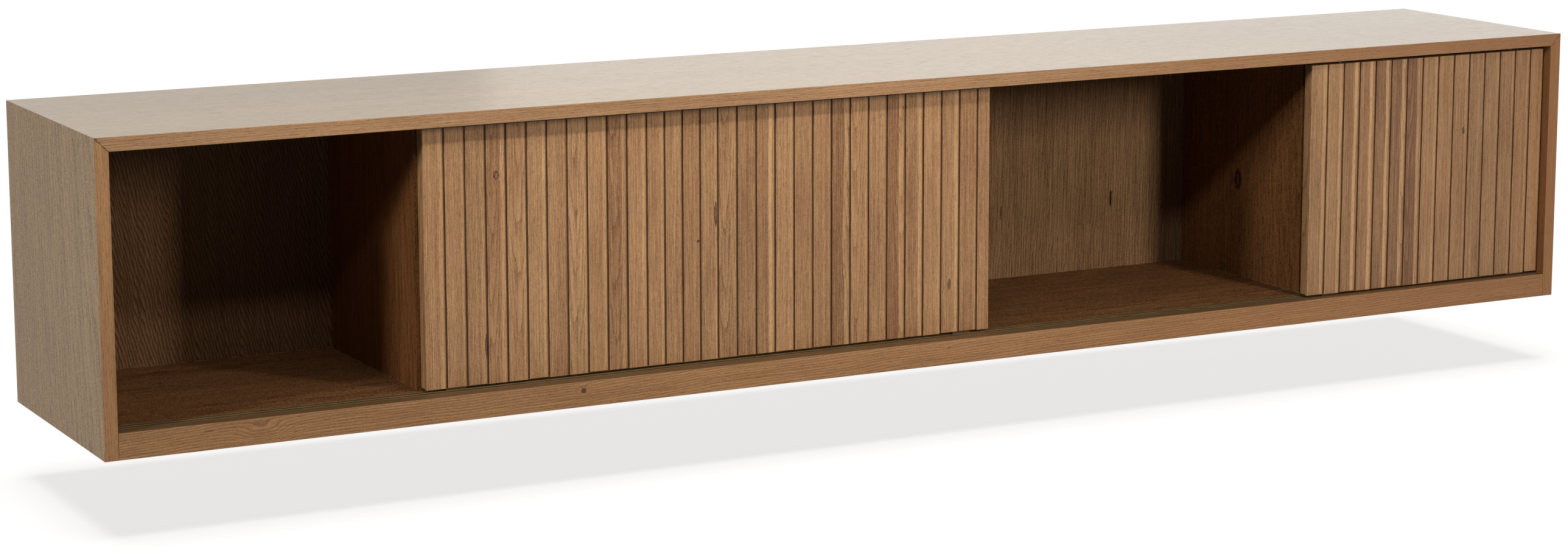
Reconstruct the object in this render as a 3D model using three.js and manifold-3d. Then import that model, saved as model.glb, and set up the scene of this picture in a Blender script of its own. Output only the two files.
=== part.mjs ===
// Floating media console: a long mitred oak case that hangs on the wall, with two slatted
// doors hung from a twin top track, so that each slides past the other in its own lane.
// Millimetres, +Z up, -Y is the front. The origin is the middle of the underside.

import * as THREE from 'three';
import { mergeVertices } from 'three/addons/utils/BufferGeometryUtils.js';
import Module from 'manifold-3d';

const wasm = await Module();
wasm.setup();

// Case
const CASE_WIDTH = 2400;
const CASE_DEPTH = 406;
const CASE_HEIGHT = 425;
const BOARD_THICKNESS = 19;
const FRONT_EDGE_THICKNESS = 2;
const BOTTOM_BOARD_THICKNESS = 18;
const RAIL_SEAM = 0.4;
const BACK_THICKNESS = 6;
const DIVIDER_THICKNESS = 18;
const LEFT_BAY_WIDTH = 439;
const RIGHT_BAY_WIDTH = 425;

// Doors
const FRONT_DOOR_SETBACK = 16;
const DOOR_PASSING_GAP = 2;
const SLAT_THICKNESS = 5;
const BACKING_THICKNESS = 13;
const DOOR_FLOOR_GAP = 2.5;
const DOOR_HEAD_GAP = 6;
const WIDE_DOOR_WIDTH = 895;
const WIDE_DOOR_INSET = 5;
const WIDE_DOOR_PITCH = 30.5;
const NARROW_SLAT_PITCH = 27.8;
const FIRST_NARROW_SLAT = 11;
const NARROW_SLAT_COUNT = 4;
const NARROW_DOOR_WIDTH = 454;
const NARROW_DOOR_PITCH = 30.6;
const GROOVE_WIDTH = 3.2;
const GROOVE_DEPTH = 2.5;

// Top track, hanger carriages and wheels
const TRACK_WALL = 1.5;
const TRACK_CHANNEL_WIDTH = 14;
const TRACK_HEIGHT = 13;
const TRACK_DROP = 2.5;
const TRACK_SLOT = 6;
const CARRIAGE_INSET = 60;
const CARRIAGE_LENGTH = 34;
const CARRIAGE_HEIGHT = 7;
const CARRIAGE_THICKNESS = 5;
const WHEEL_RADIUS = 4.5;
const WHEEL_WIDTH = 3;
const WHEEL_EDGE = 0.5;
const WHEEL_LIFT = 0.1;
const AXLE_RADIUS = 1.25;
const AXLE_OVERHANG = 0.25;
const BOLT_RADIUS = 2;
const BOLT_DEPTH = 22;
const COLLAR_RADIUS = 4;
const COLLAR_HEIGHT = 2;

// Guide strip in the floor and the guides under the doors
const GUIDE_SLOT = 4;
const GUIDE_SLOT_DEPTH = 6;
const GUIDE_STRIP_HEIGHT = 9;
const GUIDE_STRIP_FRONT_LIP = 4;
const GUIDE_STRIP_BACK_LIP = 3;
const FRONT_GUIDE_INSET = 5;
const REAR_GUIDE_INSET = 4;
const GUIDE_LENGTH = 30;
const GUIDE_BLADE = 3;
const GUIDE_BLADE_HEIGHT = 6;
const GUIDE_PLATE_WIDTH = 12;
const GUIDE_PLATE_THICKNESS = 1.5;
const GUIDE_INSET = 45;

// Felt buffers where the doors meet the side panels
const BUFFER_RADIUS = 5;
const BUFFER_THICKNESS = 1.75;

// Cleats that hang the case on the wall
const CLEAT_THICKNESS = 16;
const CLEAT_HEIGHT = 55;
const WALL_CLEAT_LENGTH = 2300;
const WALL_SCREW_RADIUS = 2.75;
const WALL_SCREW_COUNT = 4;

// Clearances
const RUNNING_GAP = 0.3;
const DIVIDER_GAP = 1;
const CUT_OVERRUN = 1;

// Sides of every round piece
const ROUND_SIDES = 24;

// Places along X, from the middle of the case
const sideOuter = CASE_WIDTH / 2;
const sideInner = sideOuter - BOARD_THICKNESS;
const leftDividerLeft = -sideInner + LEFT_BAY_WIDTH;
const rightDividerLeft = sideInner - RIGHT_BAY_WIDTH - DIVIDER_THICKNESS;
const doorStop = sideInner - BUFFER_THICKNESS - RUNNING_GAP;

// Places along Y, from the front face of the case towards the wall
const doorThickness = SLAT_THICKNESS + BACKING_THICKNESS;
const rearDoorSetback = FRONT_DOOR_SETBACK + doorThickness + DOOR_PASSING_GAP;
const backingMiddle = SLAT_THICKNESS + BACKING_THICKNESS / 2;
const frontHangLine = FRONT_DOOR_SETBACK + backingMiddle;
const rearHangLine = rearDoorSetback + backingMiddle;
const trackReach = TRACK_CHANNEL_WIDTH / 2 + TRACK_WALL;
const trackFront = frontHangLine - trackReach;
const trackBack = rearHangLine + trackReach;
const frontSlotLine = FRONT_DOOR_SETBACK + doorThickness - FRONT_GUIDE_INSET;
const rearSlotLine = rearDoorSetback + REAR_GUIDE_INSET;
const stripFront = frontSlotLine - GUIDE_SLOT / 2 - GUIDE_STRIP_FRONT_LIP;
const stripBack = rearSlotLine + GUIDE_SLOT / 2 + GUIDE_STRIP_BACK_LIP;
const dividerFront = trackBack + DIVIDER_GAP;
const backPanelRear = CASE_DEPTH - CLEAT_THICKNESS;
const backPanelFront = backPanelRear - BACK_THICKNESS;

// Places along Z, from the underside of the case
const floorTop = 2 * BOTTOM_BOARD_THICKNESS;
const stripBottom = floorTop - GUIDE_STRIP_HEIGHT;
const topUnderside = CASE_HEIGHT - BOARD_THICKNESS;
const doorBottom = floorTop + DOOR_FLOOR_GAP;
const doorTop = topUnderside - DOOR_HEAD_GAP;
const trackBottom = topUnderside - TRACK_DROP;
const trackTop = trackBottom + TRACK_HEIGHT;
const lipTop = trackBottom + TRACK_WALL;
const axleHeight = lipTop + WHEEL_LIFT + WHEEL_RADIUS;
const carriageBottom = axleHeight - CARRIAGE_HEIGHT / 2;
const bevelBottom = topUnderside - CLEAT_HEIGHT;
const bevelTop = bevelBottom + CLEAT_THICKNESS;
const wallCleatBottom = bevelTop - CLEAT_HEIGHT;

const topOak = { color: 0xd8cdbd, roughness: 0.55, metalness: 0 };
const sideOak = { color: 0x8f8168, roughness: 0.62, metalness: 0 };
const edgeOak = { color: 0xa9794f, roughness: 0.6, metalness: 0 };
const innerOak = { color: 0x6b4a2e, roughness: 0.65, metalness: 0 };
const slatOak = { color: 0x8f6d4d, roughness: 0.65, metalness: 0 };
const plainBoard = { color: 0xa58a66, roughness: 0.75, metalness: 0 };
const bronzeAluminium = { color: 0x4a4038, roughness: 0.4, metalness: 0.9 };
const brownPlastic = { color: 0x6f5f42, roughness: 0.5, metalness: 0 };
const whiteNylon = { color: 0xdcd9d0, roughness: 0.4, metalness: 0 };
const steel = { color: 0xa0a2a5, roughness: 0.35, metalness: 1 };
const felt = { color: 0x5c4a38, roughness: 0.95, metalness: 0 };

const wideDoor = {
  name: 'wide_door',
  left: leftDividerLeft + WIDE_DOOR_INSET,
  width: WIDE_DOOR_WIDTH,
  front: rearDoorSetback,
  hangLine: rearHangLine,
  slotLine: rearSlotLine,
  plateSide: 1,
  slatPitch: WIDE_DOOR_PITCH,
  narrowSlats: NARROW_SLAT_COUNT,
};

const narrowDoor = {
  name: 'narrow_door',
  left: doorStop - NARROW_DOOR_WIDTH,
  width: NARROW_DOOR_WIDTH,
  front: FRONT_DOOR_SETBACK,
  hangLine: frontHangLine,
  slotLine: frontSlotLine,
  plateSide: -1,
  slatPitch: NARROW_DOOR_PITCH,
  narrowSlats: 0,
};

const xAxis = new THREE.Vector3(1, 0, 0);
const yAxis = new THREE.Vector3(0, 1, 0);
const zAxis = new THREE.Vector3(0, 0, 1);

function meshOf(name, geometry, finish) {
  const mesh = new THREE.Mesh(geometry, new THREE.MeshStandardMaterial(finish));
  mesh.name = name;
  return mesh;
}

// A board between two corners: a unit box, scaled and placed by its mesh.
function board(name, low, high, finish) {
  const mesh = meshOf(name, new THREE.BoxGeometry(1, 1, 1), finish);
  const size = high.map((value, i) => value - low[i]);
  const middle = high.map((value, i) => (value + low[i]) / 2);
  mesh.scale.set(...size);
  mesh.position.set(...middle);
  return mesh;
}

function outline(points) {
  return new THREE.Shape(points.map(([u, v]) => new THREE.Vector2(u, v)));
}

// A prism of unit depth along its third axis, which the mesh then stretches to its length.
function unitPrism(shape) {
  return new THREE.ExtrudeGeometry(shape, { depth: 1, bevelEnabled: false });
}

// A profile of (y, z) points, run along X from start to end.
function runAlongX(name, points, start, end, finish) {
  const mesh = meshOf(name, unitPrism(outline(points)), finish);
  mesh.setRotationFromMatrix(new THREE.Matrix4().makeBasis(yAxis, zAxis, xAxis));
  mesh.scale.set(1, 1, end - start);
  mesh.position.set(start, 0, 0);
  return mesh;
}

// A shape of (x, z) points, run along Y from front to back.
function runAlongY(name, shape, front, back, finish) {
  const mesh = meshOf(name, unitPrism(shape), finish);
  mesh.setRotationFromMatrix(new THREE.Matrix4().makeBasis(xAxis, zAxis, yAxis.clone().negate()));
  mesh.scale.set(1, 1, back - front);
  mesh.position.set(0, back, 0);
  return mesh;
}

// A shape of (x, y) points, run along Z from bottom to top.
function runAlongZ(name, shape, bottom, top, finish) {
  const mesh = meshOf(name, unitPrism(shape), finish);
  mesh.scale.set(1, 1, top - bottom);
  mesh.position.set(0, 0, bottom);
  return mesh;
}

function circleShape(u, v, radius) {
  const turn = 2 * Math.PI / ROUND_SIDES;
  const points = [];
  for (let i = 0; i < ROUND_SIDES; i += 1) {
    points.push([u + radius * Math.cos(i * turn), v + radius * Math.sin(i * turn)]);
  }
  return outline(points);
}

// A turned piece, from a profile of [radius, height] points around the Y axis.
function turned(name, profile, finish) {
  const points = profile.map(([radius, height]) => new THREE.Vector2(radius, height));
  return meshOf(name, new THREE.LatheGeometry(points, ROUND_SIDES), finish);
}

// A placed mesh as a solid that can be cut, in the coordinates of its parent.
function solidOf(mesh) {
  mesh.updateMatrix();
  const geometry = mesh.geometry.clone().applyMatrix4(mesh.matrix);
  geometry.deleteAttribute('normal');
  geometry.deleteAttribute('uv');
  const merged = mergeVertices(geometry);
  return new wasm.Manifold(new wasm.Mesh({
    numProp: 3,
    vertProperties: merged.attributes.position.array,
    triVerts: new Uint32Array(merged.index.array),
  }));
}

function cutBy(mesh, cutters, finish) {
  let solid = solidOf(mesh);
  for (const cutter of cutters) {
    solid = solid.subtract(solidOf(cutter));
  }
  const cut = solid.getMesh();
  const geometry = new THREE.BufferGeometry();
  geometry.setAttribute('position', new THREE.BufferAttribute(cut.vertProperties, 3));
  geometry.setIndex(new THREE.BufferAttribute(cut.triVerts, 1));
  geometry.computeVertexNormals();
  return meshOf(mesh.name, geometry, finish);
}

// Evenly spaced places along X, centred, each in the middle of its share of the length.
function spread(count, length) {
  return Array.from({ length: count }, (_, i) => length * ((i + 0.5) / count - 0.5));
}

// The top's outline from the front, with its ends mitred to meet the sides.
function topOutline() {
  return outline([
    [-sideInner, topUnderside], [sideInner, topUnderside],
    [sideOuter, CASE_HEIGHT], [-sideOuter, CASE_HEIGHT],
  ]);
}

// One side's outline from the front: its outer face, the mitre and its inner face.
function sideOutline(hand) {
  return outline([
    [hand * sideOuter, 0], [hand * sideOuter, CASE_HEIGHT],
    [hand * sideInner, topUnderside], [hand * sideInner, 0],
  ]);
}

function buildTop() {
  const shape = topOutline();
  const panel = runAlongY('top_panel', shape, FRONT_EDGE_THICKNESS, CASE_DEPTH, topOak);
  const trackRecess = board('track_recess', [-sideInner, trackFront, topUnderside - CUT_OVERRUN],
    [sideInner, trackBack, trackTop], topOak);
  return [
    cutBy(panel, [trackRecess], topOak),
    runAlongY('top_front_edge', shape, 0, FRONT_EDGE_THICKNESS, edgeOak),
  ];
}

function buildSide(hand, word) {
  const shape = sideOutline(hand);
  return [
    runAlongY(`${word}_side_panel`, shape, FRONT_EDGE_THICKNESS, CASE_DEPTH, sideOak),
    runAlongY(`${word}_front_edge`, shape, 0, FRONT_EDGE_THICKNESS, edgeOak),
  ];
}

// Two bottom boards behind a solid rail. The upper one is rebated for the guide strip.
function buildBottom() {
  const railEnd = sideInner - RAIL_SEAM;
  const floorProfile = [
    [stripFront, BOTTOM_BOARD_THICKNESS], [CASE_DEPTH, BOTTOM_BOARD_THICKNESS],
    [CASE_DEPTH, floorTop], [stripBack, floorTop],
    [stripBack, stripBottom], [stripFront, stripBottom],
  ];
  return [
    board('front_rail', [-railEnd, 0, 0], [railEnd, stripFront, floorTop], edgeOak),
    runAlongX('floor_panel', floorProfile, -sideInner, sideInner, innerOak),
    board('bottom_panel', [-sideInner, stripFront, 0],
      [sideInner, CASE_DEPTH, BOTTOM_BOARD_THICKNESS], plainBoard),
  ];
}

function buildBack() {
  return board('back_panel', [-sideInner, backPanelFront, floorTop],
    [sideInner, backPanelRear, topUnderside], innerOak);
}

function buildDivider(name, left) {
  return board(name, [left, dividerFront, floorTop],
    [left + DIVIDER_THICKNESS, backPanelFront, topUnderside], innerOak);
}

// The case's cleat under the top, and the wall's cleat that it hooks over, both bevelled.
function buildCleats() {
  const caseCleat = runAlongX('case_cleat', [
    [backPanelRear, bevelTop], [CASE_DEPTH, bevelBottom],
    [CASE_DEPTH, topUnderside], [backPanelRear, topUnderside],
  ], -sideInner, sideInner, plainBoard);
  const wallCleat = runAlongX('wall_cleat', [
    [backPanelRear, wallCleatBottom], [CASE_DEPTH, wallCleatBottom],
    [CASE_DEPTH, bevelBottom], [backPanelRear, bevelTop],
  ], -WALL_CLEAT_LENGTH / 2, WALL_CLEAT_LENGTH / 2, plainBoard);
  const screwHeight = (wallCleatBottom + bevelBottom) / 2;
  const screwHoles = spread(WALL_SCREW_COUNT, WALL_CLEAT_LENGTH).map((x) => runAlongY('screw_hole',
    circleShape(x, screwHeight, WALL_SCREW_RADIUS), backPanelRear - CUT_OVERRUN,
    CASE_DEPTH + CUT_OVERRUN, plainBoard));
  return [caseCleat, cutBy(wallCleat, screwHoles, plainBoard)];
}

// Twin channel let into the top: a roof, two walls, a web between the lanes, and lips
// that the wheels run on, either side of each slot.
function buildTopTrack() {
  const roof = trackTop - TRACK_WALL;
  const slot = TRACK_SLOT / 2;
  const channel = TRACK_CHANNEL_WIDTH / 2;
  const points = [[trackFront, trackBottom]];
  for (const line of [frontHangLine, rearHangLine]) {
    points.push([line - slot, trackBottom], [line - slot, lipTop], [line - channel, lipTop]);
    points.push([line - channel, roof], [line + channel, roof], [line + channel, lipTop]);
    points.push([line + slot, lipTop], [line + slot, trackBottom]);
  }
  points.push([trackBack, trackBottom], [trackBack, trackTop], [trackFront, trackTop]);
  return runAlongX('top_track', points, -sideInner, sideInner, bronzeAluminium);
}

// A strip flush with the floor, with one narrow slot for the guides of each door.
function buildGuideStrip() {
  const slotFloor = floorTop - GUIDE_SLOT_DEPTH;
  const half = GUIDE_SLOT / 2;
  const points = [[stripFront, stripBottom], [stripBack, stripBottom], [stripBack, floorTop]];
  for (const line of [rearSlotLine, frontSlotLine]) {
    points.push([line + half, floorTop], [line + half, slotFloor]);
    points.push([line - half, slotFloor], [line - half, floorTop]);
  }
  points.push([stripFront, floorTop]);
  return runAlongX('guide_strip', points, -sideInner, sideInner, brownPlastic);
}

function buildBuffers() {
  const lanes = [['front', FRONT_DOOR_SETBACK], ['rear', rearDoorSetback]];
  const pieces = [];
  for (const [hand, side] of [[-1, 'left'], [1, 'right']]) {
    for (const [lane, setback] of lanes) {
      const disc = new THREE.CylinderGeometry(BUFFER_RADIUS, BUFFER_RADIUS, BUFFER_THICKNESS,
        ROUND_SIDES);
      const buffer = meshOf(`buffer_${side}_${lane}`, disc, felt);
      buffer.rotation.set(0, 0, Math.PI / 2);
      buffer.position.set(hand * (sideInner - BUFFER_THICKNESS / 2), setback + doorThickness / 2,
        (doorTop + doorBottom) / 2);
      pieces.push(buffer);
    }
  }
  return pieces;
}

// Distances of the grooves from the door's left edge. A few slats in the middle of the
// wide door are narrower, and the last slat takes what width is left over.
function groovePlaces(door) {
  const places = [];
  let place = door.slatPitch;
  while (place < door.width - GROOVE_WIDTH) {
    places.push(place);
    const passed = places.length - FIRST_NARROW_SLAT;
    const narrow = passed >= 0 && passed < door.narrowSlats;
    place += narrow ? NARROW_SLAT_PITCH : door.slatPitch;
  }
  return places;
}

// The slats from above, as one grooved facing.
function slatOutline(door) {
  const half = GROOVE_WIDTH / 2;
  const bottom = door.front + GROOVE_DEPTH;
  const back = door.front + SLAT_THICKNESS;
  const points = [[door.left, door.front]];
  for (const place of groovePlaces(door)) {
    const x = door.left + place;
    points.push([x - half, door.front], [x - half, bottom]);
    points.push([x + half, bottom], [x + half, door.front]);
  }
  const right = door.left + door.width;
  points.push([right, door.front], [right, back], [door.left, back]);
  return outline(points);
}

function boltHole(x, hangLine) {
  const shape = circleShape(x, hangLine, BOLT_RADIUS + RUNNING_GAP);
  return runAlongZ('bolt_hole', shape, doorTop - BOLT_DEPTH - RUNNING_GAP, doorTop + CUT_OVERRUN,
    plainBoard);
}

function buildDoorBoards(door, hangers) {
  const backingFront = door.front + SLAT_THICKNESS;
  const slats = runAlongZ(`${door.name}_slats`, slatOutline(door), doorBottom, doorTop, slatOak);
  const backing = board(`${door.name}_backing`, [door.left, backingFront, doorBottom],
    [door.left + door.width, backingFront + BACKING_THICKNESS, doorTop], plainBoard);
  const holes = hangers.map(([, x]) => boltHole(x, door.hangLine));
  return [slats, cutBy(backing, holes, plainBoard)];
}

function buildCarriage(name, x, hangLine) {
  const half = CARRIAGE_LENGTH / 2;
  const top = carriageBottom + CARRIAGE_HEIGHT;
  const shape = outline([
    [x - half, carriageBottom], [x + half, carriageBottom], [x + half, top], [x - half, top],
  ]);
  shape.holes.push(circleShape(x, axleHeight, AXLE_RADIUS + RUNNING_GAP));
  const front = hangLine - CARRIAGE_THICKNESS / 2;
  return runAlongY(name, shape, front, front + CARRIAGE_THICKNESS, brownPlastic);
}

// The stem that joins a carriage to its door, with the collar that sets the door's height.
function buildBolt(name, x, hangLine) {
  const collarTop = BOLT_DEPTH + COLLAR_HEIGHT;
  const stemTop = BOLT_DEPTH + carriageBottom - doorTop;
  const bolt = turned(name, [
    [0, 0], [BOLT_RADIUS, 0], [BOLT_RADIUS, BOLT_DEPTH], [COLLAR_RADIUS, BOLT_DEPTH],
    [COLLAR_RADIUS, collarTop], [BOLT_RADIUS, collarTop], [BOLT_RADIUS, stemTop], [0, stemTop],
  ], steel);
  bolt.rotation.set(Math.PI / 2, 0, 0);
  bolt.position.set(x, hangLine, doorTop - BOLT_DEPTH);
  return bolt;
}

function buildAxle(name, x, hangLine) {
  const reach = CARRIAGE_THICKNESS / 2 + RUNNING_GAP + WHEEL_WIDTH + AXLE_OVERHANG;
  const rod = new THREE.CylinderGeometry(AXLE_RADIUS, AXLE_RADIUS, 2 * reach, ROUND_SIDES);
  const axle = meshOf(name, rod, steel);
  axle.position.set(x, hangLine, axleHeight);
  return axle;
}

// A wheel pressed on its axle, with its rim's edges eased.
function buildWheel(name, x, hangLine, hand) {
  const half = WHEEL_WIDTH / 2;
  const rim = WHEEL_RADIUS - WHEEL_EDGE;
  const wheel = turned(name, [
    [AXLE_RADIUS, -half], [rim, -half], [WHEEL_RADIUS, WHEEL_EDGE - half],
    [WHEEL_RADIUS, half - WHEEL_EDGE], [rim, half], [AXLE_RADIUS, half], [AXLE_RADIUS, -half],
  ], whiteNylon);
  const offset = CARRIAGE_THICKNESS / 2 + RUNNING_GAP + half;
  wheel.position.set(x, hangLine + hand * offset, axleHeight);
  return wheel;
}

function buildHanger(door, side, x) {
  return [
    buildCarriage(`${door.name}_carriage_${side}`, x, door.hangLine),
    buildBolt(`${door.name}_bolt_${side}`, x, door.hangLine),
    buildAxle(`${door.name}_axle_${side}`, x, door.hangLine),
    buildWheel(`${door.name}_wheel_${side}_front`, x, door.hangLine, -1),
    buildWheel(`${door.name}_wheel_${side}_rear`, x, door.hangLine, 1),
  ];
}

// A plate under the door with a blade that runs in the slot. The plate reaches from the
// blade towards the middle of the door's thickness.
function buildGuide(door, side, x) {
  const plateBottom = doorBottom - GUIDE_PLATE_THICKNESS;
  const bladeBottom = plateBottom - GUIDE_BLADE_HEIGHT;
  const outer = door.slotLine - door.plateSide * GUIDE_BLADE / 2;
  const inner = door.slotLine + door.plateSide * GUIDE_BLADE / 2;
  const plateEnd = outer + door.plateSide * GUIDE_PLATE_WIDTH;
  const points = [
    [outer, bladeBottom], [inner, bladeBottom], [inner, plateBottom],
    [plateEnd, plateBottom], [plateEnd, doorBottom], [outer, doorBottom],
  ];
  const half = GUIDE_LENGTH / 2;
  return runAlongX(`${door.name}_guide_${side}`, points, x - half, x + half, brownPlastic);
}

// The two places along X that lie an inset from the door's ends.
function nearEnds(door, inset) {
  return [['left', door.left + inset], ['right', door.left + door.width - inset]];
}

function buildDoor(door) {
  const hangers = nearEnds(door, CARRIAGE_INSET);
  const guides = nearEnds(door, GUIDE_INSET);
  return [
    ...buildDoorBoards(door, hangers),
    ...hangers.flatMap(([side, x]) => buildHanger(door, side, x)),
    ...guides.map(([side, x]) => buildGuide(door, side, x)),
  ];
}

const mediaConsole = new THREE.Group();
mediaConsole.add(
  ...buildTop(),
  ...buildSide(-1, 'left'),
  ...buildSide(1, 'right'),
  ...buildBottom(),
  buildBack(),
  buildDivider('left_divider', leftDividerLeft),
  buildDivider('right_divider', rightDividerLeft),
  ...buildCleats(),
  buildTopTrack(),
  buildGuideStrip(),
  ...buildBuffers(),
  ...buildDoor(wideDoor),
  ...buildDoor(narrowDoor),
);
mediaConsole.position.set(0, -CASE_DEPTH / 2, 0);

const model = new THREE.Group();
model.add(mediaConsole);
export default model;
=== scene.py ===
"""Blender scene for the floating media console: oak boards, slatted sliding doors and hardware.

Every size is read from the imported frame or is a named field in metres. X runs along the console,
-Y is its front and +Z is up; the origin is the middle of the underside.
"""

import logging
import math
from dataclasses import dataclass, field, replace
from enum import Enum
from functools import cached_property
from typing import Callable, Optional, Union

import bpy
import numpy as np
from bpy.types import ID, Collection, Material, Mesh, Node, NodeSocket, NodeTree, Object
from mathutils import Matrix, Vector


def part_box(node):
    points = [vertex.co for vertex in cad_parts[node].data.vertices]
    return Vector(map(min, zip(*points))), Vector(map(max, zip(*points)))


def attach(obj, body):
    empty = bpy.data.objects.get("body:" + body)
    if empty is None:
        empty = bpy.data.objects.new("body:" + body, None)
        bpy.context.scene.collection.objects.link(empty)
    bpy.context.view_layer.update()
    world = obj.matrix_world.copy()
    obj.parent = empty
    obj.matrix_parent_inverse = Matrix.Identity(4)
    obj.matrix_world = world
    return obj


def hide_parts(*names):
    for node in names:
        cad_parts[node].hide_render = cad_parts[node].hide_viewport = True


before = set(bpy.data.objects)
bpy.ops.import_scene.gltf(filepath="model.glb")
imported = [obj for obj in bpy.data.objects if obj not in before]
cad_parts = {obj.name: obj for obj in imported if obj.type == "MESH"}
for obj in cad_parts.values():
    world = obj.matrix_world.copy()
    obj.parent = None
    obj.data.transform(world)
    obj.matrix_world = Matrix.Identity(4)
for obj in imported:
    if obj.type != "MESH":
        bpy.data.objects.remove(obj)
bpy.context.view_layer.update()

LOG = logging.getLogger("media_console")

MM = 0.001
PHOTO_WIDTH, PHOTO_HEIGHT = 2576, 918
RANDOM_SEED = 11
SLAT_FACE = 27.4 * MM

Points = np.ndarray
Radii = Union[float, list[float], Points]
Colour = tuple[float, float, float, float]
Feed = Union[float, "Wire"]
End = Union[float, Callable[[Points], Points]]


def rgb(red: int, green: int, blue: int) -> Colour:
    """Turn an 8-bit display colour into the linear one that a shader socket takes.

    Args:
        red, green, blue: display values from 0 to 255.

    Returns:
        A power curve of 2.4 of each value, above a short straight foot, and an alpha of 1.
    """
    share = np.array([red, green, blue]) / 255
    linear = np.where(share <= 0.04045, share / 12.92, ((share + 0.055) / 1.055) ** 2.4)
    return (*linear.tolist(), 1.0)


def grey(tone: float) -> Colour:
    """Give a linear grey."""
    return (tone, tone, tone, 1.0)


SLAT_BLUSH = rgb(160, 110, 74)
# Painted shade for the grooves between the door slats.
GROOVE_PAINTED_SHADE = rgb(64, 38, 20)
MITRE_GLUE = rgb(48, 28, 18)
JOINT_GLINT = rgb(150, 120, 88)


def unit(vectors: Points) -> Points:
    """Scale each row to length 1."""
    return vectors / np.linalg.norm(vectors, axis=-1, keepdims=True)


class Axis(Enum):
    """The axis that an outline is carried along.

    The value gives the order of its u, v and run w as x, y, z, and whether it's left-handed.
    """

    X = ((2, 0, 1), False)
    Y = ((0, 2, 1), True)
    Z = ((0, 1, 2), False)


@dataclass(frozen=True)
class Box:
    """A CAD node's corners at rest, in metres."""

    low: Vector
    high: Vector

    @classmethod
    def of(cls, node: str) -> "Box":
        """Read the box of a CAD node from the frame."""
        return cls(*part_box(node))

    @property
    def middle(self) -> Vector:
        """The middle of the box."""
        return (self.low + self.high) / 2

    @property
    def size(self) -> Vector:
        """The box's length along each axis."""
        return self.high - self.low

    def across(self, axis: Axis) -> Points:
        """Give the corners of the box's section across an axis, counter-clockwise in u and v."""
        u, v = axis.value[0].index(0), axis.value[0].index(1)
        (left, foot), (right, head) = ((end[u], end[v]) for end in (self.low, self.high))
        return np.array([[left, foot], [right, foot], [right, head], [left, head]])

    def along(self, axis: Axis) -> tuple[float, float]:
        """Give where the box starts and ends along an axis."""
        run = axis.value[0].index(2)
        return self.low[run], self.high[run]


@dataclass
class Surface:
    """Vertices and faces of one closed piece, with values that its faces carry."""

    points: Points
    faces: list[list[int]]
    face_values: dict[str, Points] = field(default_factory=dict)

    def mesh(self, name: str) -> Mesh:
        """Put the surface into a Blender mesh.

        Args:
            name: the mesh's name.

        Returns:
            The mesh, with a float attribute on its faces for each of the face values.
        """
        mesh = bpy.data.meshes.new(name)
        mesh.from_pydata(self.points.tolist(), [], self.faces)
        for key, values in self.face_values.items():
            attribute = mesh.attributes.new(key, "FLOAT", "FACE")
            attribute.data.foreach_set("value", np.asarray(values, np.float32))
        mesh.validate()
        return mesh


def skinned(rings: Points, axis: Axis, closed: bool = False) -> Surface:
    """Skin a stack of closed rings: a face joins two neighbours on a ring and the same on the next.

    Args:
        rings: the rings' points in u, v and w, each ring counter-clockwise.
        axis: the axis of w.
        closed: whether the last ring joins the first; otherwise each end gets a flat cap.

    Returns:
        The closed surface, its faces outwards: the sides ring by ring, then the caps.
    """
    rows, columns = rings.shape[:2]
    ring = np.arange(rows if closed else rows - 1)[:, None]
    place = np.arange(columns)[None, :]
    after, above = (place + 1) % columns, (ring + 1) % rows
    corners = [ring * columns + place, ring * columns + after,
               above * columns + after, above * columns + place]
    faces = np.stack(corners, axis=-1).reshape(-1, 4).tolist()
    if not closed:
        cap = np.arange(columns)
        faces += [cap[::-1].tolist(), (cap + (rows - 1) * columns).tolist()]
    order, turned_round = axis.value
    if turned_round:
        faces = [face[::-1] for face in faces]
    return Surface(rings.reshape(-1, 3)[:, order], faces)


def eased_outline(corners: Points, radius: Radii, steps: int = 3) -> Points:
    """Round every corner of a closed outline with an arc that is tangent to its two sides.

    The arc's centre lies on the bisector, at the radius over the sine of half the corner's angle,
    and its points turn evenly from one tangent radius to the other.

    Args:
        corners: the outline's corners, one row each.
        radius: the arcs' radius, one for all or one for each corner.
        steps: how many sides each arc has.

    Returns:
        The rounded outline's points, counter-clockwise.
    """
    ahead = np.roll(corners, -1, axis=0)
    area = np.sum(corners[:, 0] * ahead[:, 1] - corners[:, 1] * ahead[:, 0])
    radii = np.broadcast_to(np.asarray(radius, float), len(corners))
    if area < 0:
        corners, radii = corners[::-1], radii[::-1]
    back = unit(np.roll(corners, 1, axis=0) - corners)
    on = unit(np.roll(corners, -1, axis=0) - corners)
    half = np.arccos(np.clip(np.sum(back * on, axis=1), -1, 1)) / 2
    reach = (radii / np.tan(half))[:, None]
    centre = corners + unit(back + on) * (radii / np.sin(half))[:, None]
    first = corners + back * reach - centre
    last = corners + on * reach - centre
    turn = (np.pi - 2 * half)[:, None, None]
    share = np.linspace(0, 1, steps + 1)[None, :, None]
    arc = np.sin((1 - share) * turn) * first[:, None] + np.sin(share * turn) * last[:, None]
    return (centre[:, None] + arc / np.sin(turn)).reshape(-1, 2)


def inward(outline: Points) -> Points:
    """Work out how each point moves when the outline is inset by 1.

    The move is the sum of the inward normals of its two sides over one plus their cosine.

    Args:
        outline: the counter-clockwise outline.

    Returns:
        One move for each point.
    """
    side = np.roll(outline, -1, axis=0) - outline
    normal = unit(np.stack([-side[:, 1], side[:, 0]], axis=1))
    before = np.roll(normal, 1, axis=0)
    return (normal + before) / (1 + np.sum(normal * before, axis=1, keepdims=True))


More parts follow.
